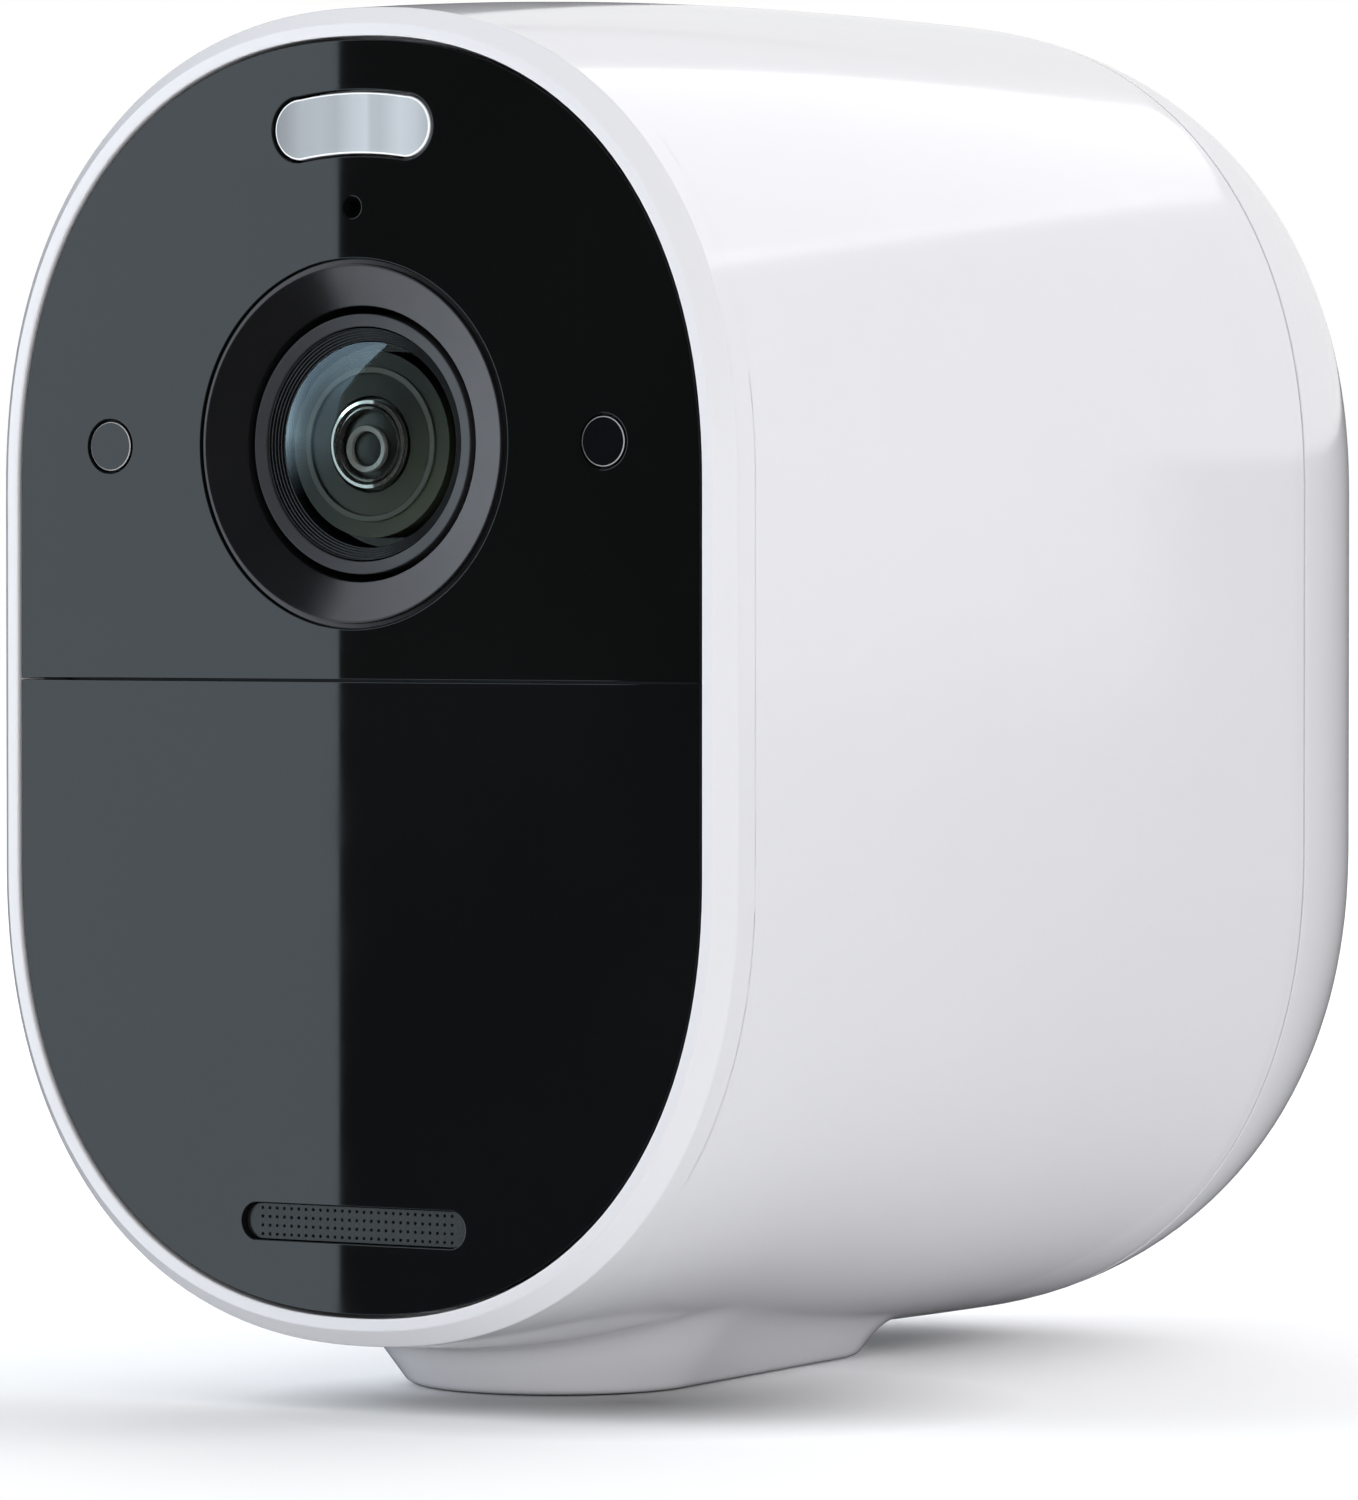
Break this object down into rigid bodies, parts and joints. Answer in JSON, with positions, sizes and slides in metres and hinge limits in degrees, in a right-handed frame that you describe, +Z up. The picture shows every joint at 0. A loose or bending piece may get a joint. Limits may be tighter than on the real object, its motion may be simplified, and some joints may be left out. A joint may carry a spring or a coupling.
{
  "type": "security camera",
  "caption": "Compact wire-free spotlight security camera with a white barrel body, black oval face, domed lens, spotlight window and rear threaded mount.",
  "frame": {"origin": "under the middle of the body, on the surface that the foot stands on", "axes": "+Z up; the lens looks along -Y, and the threaded mount is on the +Y side; +X completes the right-handed frame"},
  "size_m": [0.0526, 0.0882, 0.0787],
  "materials": {
    "white_shell": "satin white moulding",
    "silicone_seal": "matt",
    "brass_insert": "machined",
    "port_rubber": "matt",
    "steel_small": "satin",
    "button_plastic": "fine grain",
    "switch_plastic": "matt",
    "board_green": "solder mask",
    "face_black": "high gloss",
    "face_lower_black": "gloss, slightly translucent",
    "tape_grey": "foam adhesive",
    "frame_black": "fine grain",
    "bezel_black": "satin",
    "ring_grey": "anodised satin",
    "barrel_black": "black anodised",
    "lens_glass": "coated",
    "iris_metal": "satin",
    "filter_frame": "matt",
    "filter_glass": "dichroic",
    "copper": "enamelled winding",
    "chip_black": "moulded",
    "flex_amber": "polyimide",
    "ir_window": "dark gloss",
    "led_lens": "clear dome",
    "spot_diffuser": "frosted",
    "reflector_white": "white gloss",
    "mic_gold": "plated can",
    "pir_film": "faceted film",
    "grille_black": "perforated, satin",
    "foam_grey": "foam",
    "speaker_body": "matt",
    "thermal_blue": "gel pad",
    "aluminium_plate": "brushed",
    "cell_wrap": "shrink wrap over a metal can",
    "lead_red": "insulation",
    "connector_ivory": "nylon"
  },
  "bodies": {
    "camera_body": {"front_housing": "white_shell", "rear_cover": "white_shell", "cover_gasket": "silicone_seal", "mount_seat": "white_shell", "mount_insert": "brass_insert", "foot_plate": "white_shell", "door_pin": "steel_small", "sync_switch": "switch_plastic", "usb_socket": "steel_small", "charge_board": "board_green", "faceplate_upper": "face_black", "faceplate_lower": "face_lower_black", "faceplate_tape": "tape_grey", "front_frame": "frame_black", "lens_bezel": "bezel_black", "lens_trim_ring": "ring_grey", "lens_barrel": "barrel_black", "front_lens": "lens_glass", "inner_lenses": "lens_glass", "iris_ring": "iris_metal", "lens_holder": "frame_black", "filter_coil": "copper", "image_sensor": "chip_black", "sensor_board": "board_green", "sensor_flex": "flex_amber", "holder_screws": "steel_small", "ir_windows": "ir_window", "ir_leds": "led_lens", "ir_boards": "board_green", "spotlight_lens": "spot_diffuser", "spotlight_reflector": "reflector_white", "spotlight_leds": "led_lens", "spotlight_board": "board_green", "mic_boot": "silicone_seal", "microphone": "mic_gold", "pir_lens": "pir_film", "pir_sensor": "steel_small", "pir_board": "board_green", "speaker_grille": "grille_black", "speaker_gasket": "foam_grey", "speaker": "speaker_body", "main_board": "board_green", "board_screws": "steel_small", "board_chips": "chip_black", "shield_can": "steel_small", "board_connector": "connector_ivory", "thermal_pad": "thermal_blue", "heat_spreader": "aluminium_plate", "antennas": "flex_amber", "battery_cells": "cell_wrap", "battery_straps": "steel_small", "battery_tray": "frame_black", "battery_board": "board_green", "battery_lead": "lead_red"},
    "port_door": {"port_door": "port_rubber"},
    "sync_button": {"sync_button": "button_plastic"},
    "filter_slide": {"filter_slide": "filter_frame", "filter_glass": "filter_glass"}
  },
  "joints": [
    {"name": "port_door_hinge", "type": "hinge", "parent": "camera_body", "child": "port_door", "pos_m": [0, -0.0089, 0.00075], "axis": [1, 0, 0], "range_deg": [0, 95]},
    {"name": "sync_button_press", "type": "slide", "parent": "camera_body", "child": "sync_button", "axis": [0, 0, 1], "range_m": [0, 0.0006], "stiffness_N_per_m": 2500, "springref_m": -0.0004},
    {"name": "ir_filter_slide", "type": "slide", "parent": "camera_body", "child": "filter_slide", "axis": [1, 0, 0], "range_m": [0, 0.0056]}
  ]
}
